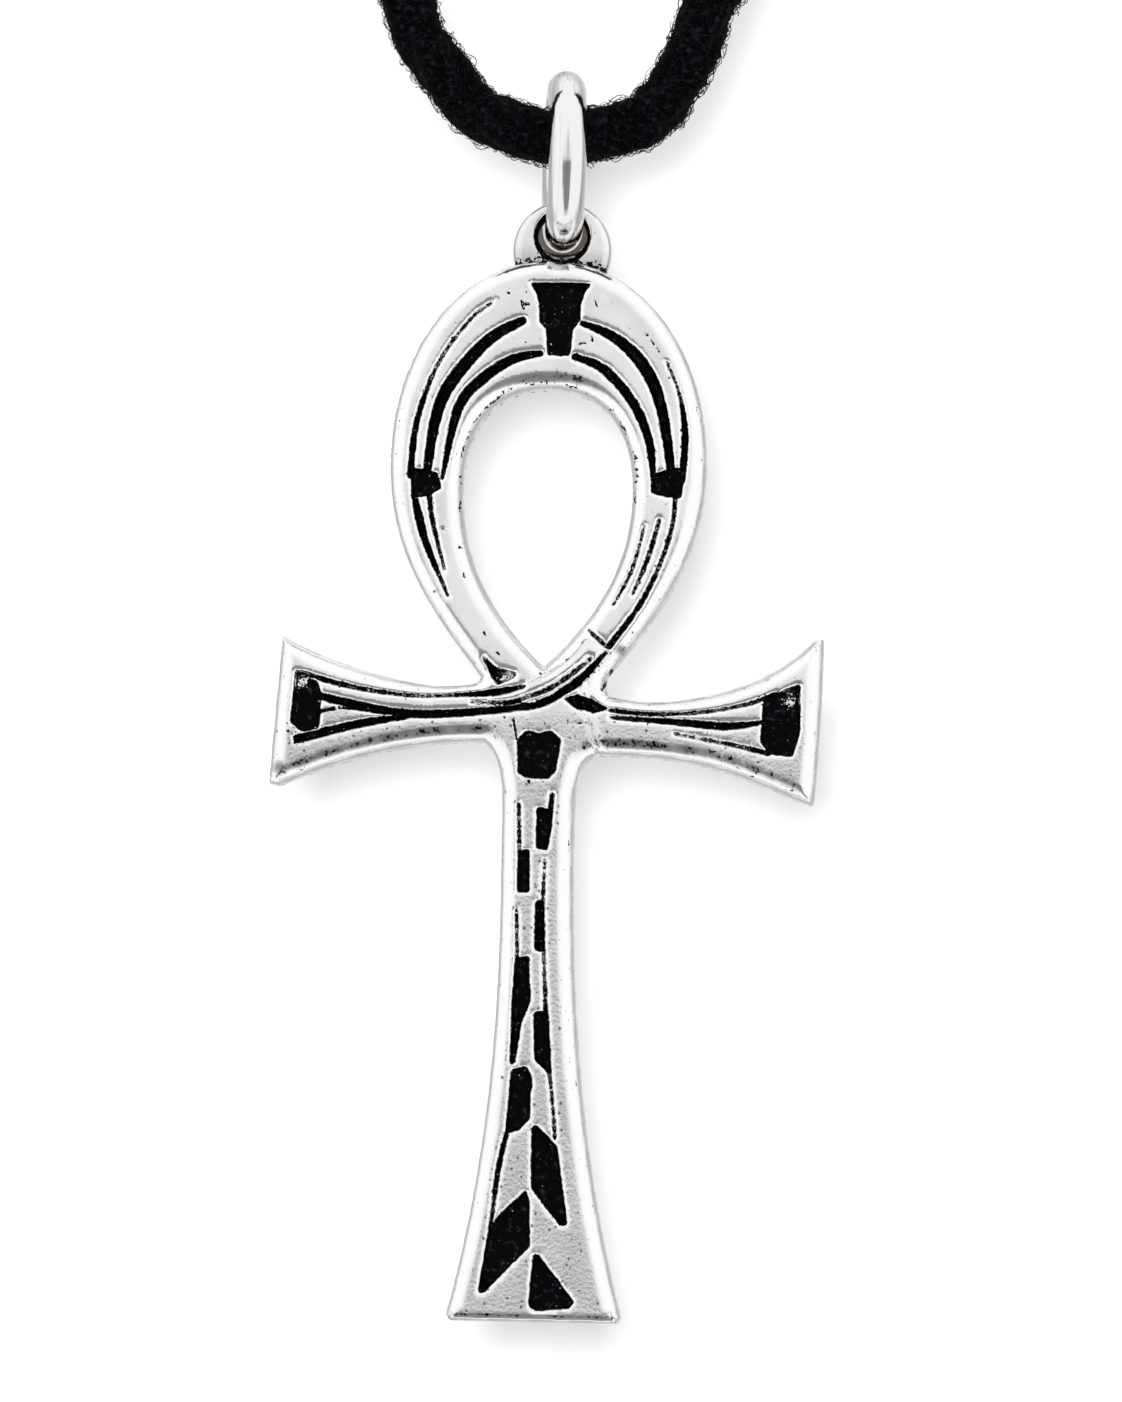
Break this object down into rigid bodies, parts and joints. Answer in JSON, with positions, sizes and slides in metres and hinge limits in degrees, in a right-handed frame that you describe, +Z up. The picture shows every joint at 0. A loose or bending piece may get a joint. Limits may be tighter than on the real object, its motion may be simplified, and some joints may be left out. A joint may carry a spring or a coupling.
{
  "type": "ankh pendant on a cord",
  "caption": "Cast silver ankh with blackened relief, hung by a jump ring on a loop of soft black cord tied at the nape.",
  "frame": {"origin": "where the cord's knot rests on the nape of the neck", "axes": "+Z up as the pendant hangs, +X to the right seen from the front, the front of the pendant towards -Y"},
  "size_m": [0.1272, 0.1527, 0.2932],
  "materials": {
    "cast_silver": "cast silver, polished on the raised parts and blackened in the recesses",
    "silver_wire": "polished silver wire",
    "black_cord": "soft fuzzy twisted cord, matt black"
  },
  "bodies": {
    "cord_loop": {"cord": "black_cord", "knot": "black_cord"},
    "ring": {"jump_ring": "silver_wire"},
    "ankh": {"ankh": "cast_silver"}
  },
  "joints": [
    {"name": "ring_swing", "type": "hinge", "parent": "cord_loop", "child": "ring", "pos_m": [0, -0.142, -0.236], "axis": [0.9962, 0.0872, 0], "range_deg": [-90, 90]},
    {"name": "ankh_sway", "type": "hinge", "parent": "ring", "child": "ankh", "pos_m": [0, -0.142, -0.24056], "axis": [0, 1, 0], "range_deg": [-55, 55]}
  ]
}
